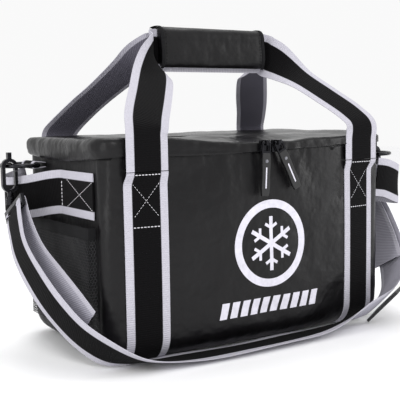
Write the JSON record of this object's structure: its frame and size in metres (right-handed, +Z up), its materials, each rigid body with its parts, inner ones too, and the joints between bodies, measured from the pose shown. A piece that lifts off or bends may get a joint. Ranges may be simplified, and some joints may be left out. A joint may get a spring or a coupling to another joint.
{
  "type": "hockey equipment bag",
  "caption": "Soft-sided hockey equipment bag with a padded box body, zip-round lid, joined carrying handles and a clip-on shoulder strap.",
  "frame": {"origin": "middle of the flat base, on the surface the bag stands on", "axes": "+X along the front to the right, +Y from the front to the back, +Z up"},
  "size_m": [0.5057, 0.281, 0.374],
  "materials": {
    "coated_fabric": "semi-gloss coated tarpaulin",
    "stiffener_board": "rigid sheet",
    "foam": "closed-cell foam",
    "lining": "plain nylon lining",
    "zip_tape": "woven tape with nylon coil",
    "webbing": "black webbing with white edge stripes",
    "grip_leather": "grained synthetic leather",
    "black_metal": "black plated zinc",
    "soft_rubber": "moulded soft rubber",
    "mesh": "open knitted mesh",
    "binding": "folded binding tape",
    "black_plastic": "moulded acetal"
  },
  "bodies": {
    "bag": {"front_panel": "coated_fabric", "back_panel": "coated_fabric", "end_panel_left": "coated_fabric", "end_panel_right": "coated_fabric", "base_panel": "coated_fabric", "hinge_tape": "coated_fabric", "base_board": "stiffener_board", "base_foam": "foam", "foam_front": "foam", "foam_back": "foam", "foam_left": "foam", "foam_right": "foam", "lining": "lining", "zipper_tape_body": "zip_tape", "front_webbing_left": "webbing", "front_webbing_right": "webbing", "back_webbing_left": "webbing", "back_webbing_right": "webbing", "end_band_left": "webbing", "end_band_right": "webbing", "ring_tab_left": "webbing", "ring_tab_right": "webbing", "shoulder_strap": "webbing", "strap_fold_left": "webbing", "strap_fold_right": "webbing", "d_ring_left": "black_metal", "d_ring_right": "black_metal", "snap_hook_left": "black_metal", "snap_hook_right": "black_metal", "swivel_left": "black_metal", "swivel_right": "black_metal", "strap_loop_left": "black_metal", "strap_loop_right": "black_metal", "pocket_mesh_left": "mesh", "pocket_mesh_right": "mesh", "pocket_binding_left": "binding", "pocket_binding_right": "binding"},
    "lid": {"lid_panel": "coated_fabric", "lid_foam": "foam", "lid_lining": "lining", "zipper_tape_lid": "zip_tape"},
    "handle_front_loop": {"handle_front": "webbing", "grip_wrap": "grip_leather"},
    "handle_back_loop": {"handle_back": "webbing"},
    "slider_left": {"zip_slider_left": "black_metal"},
    "slider_right": {"zip_slider_right": "black_metal"},
    "pull_left": {"pull_tongue_left": "black_metal", "pull_tab_left": "soft_rubber"},
    "pull_right": {"pull_tongue_right": "black_metal", "pull_tab_right": "soft_rubber"},
    "gate_left": {"hook_gate_left": "black_metal"},
    "gate_right": {"hook_gate_right": "black_metal"},
    "buckle": {"tri_glide": "black_plastic"}
  },
  "joints": [
    {"name": "lid_hinge", "type": "hinge", "parent": "bag", "child": "lid", "pos_m": [0, 0.109, 0.228], "axis": [-1, 0, 0], "range_deg": [0, 100]},
    {"name": "handle_front_fold", "type": "hinge", "parent": "bag", "child": "handle_front_loop", "pos_m": [0, -0.1185, 0.21], "axis": [1, 0, 0], "range_deg": [0, 170]},
    {"name": "handle_back_fold", "type": "hinge", "parent": "bag", "child": "handle_back_loop", "pos_m": [0, 0.1104, 0.21], "axis": [-1, 0, 0], "range_deg": [0, 150]},
    {"name": "zip_left_slide", "type": "slide", "parent": "bag", "child": "slider_left", "axis": [-0.9993, 0.0385, 0], "range_m": [0, 0.1]},
    {"name": "zip_right_slide", "type": "slide", "parent": "bag", "child": "slider_right", "axis": [0.999, 0.0449, 0], "range_m": [0, 0.1]},
    {"name": "pull_left_lift", "type": "hinge", "parent": "slider_left", "child": "pull_left", "pos_m": [-0.004, -0.1296, 0.236], "axis": [-1, 0, 0], "range_deg": [0, 110]},
    {"name": "pull_right_lift", "type": "hinge", "parent": "slider_right", "child": "pull_right", "pos_m": [0.013, -0.1296, 0.236], "axis": [-1, 0, 0], "range_deg": [0, 110]},
    {"name": "gate_left_press", "type": "hinge", "parent": "bag", "child": "gate_left", "pos_m": [-0.2345, 0.05, 0.1925], "axis": [0, -1, 0], "range_deg": [0, 25], "stiffness_Nm_per_rad": 0.02},
    {"name": "gate_right_press", "type": "hinge", "parent": "bag", "child": "gate_right", "pos_m": [0.2345, -0.05, 0.1925], "axis": [0, 1, 0], "range_deg": [0, 25], "stiffness_Nm_per_rad": 0.02},
    {"name": "buckle_slide", "type": "slide", "parent": "bag", "child": "buckle", "axis": [0.7916, 0.5278, 0.3079], "range_m": [-0.005, 0.005]}
  ],
  "couplings": [
    {"joint": "handle_front_fold", "follows": "lid_hinge", "ratio": 1.7},
    {"joint": "handle_back_fold", "follows": "lid_hinge", "ratio": 1.5}
  ]
}
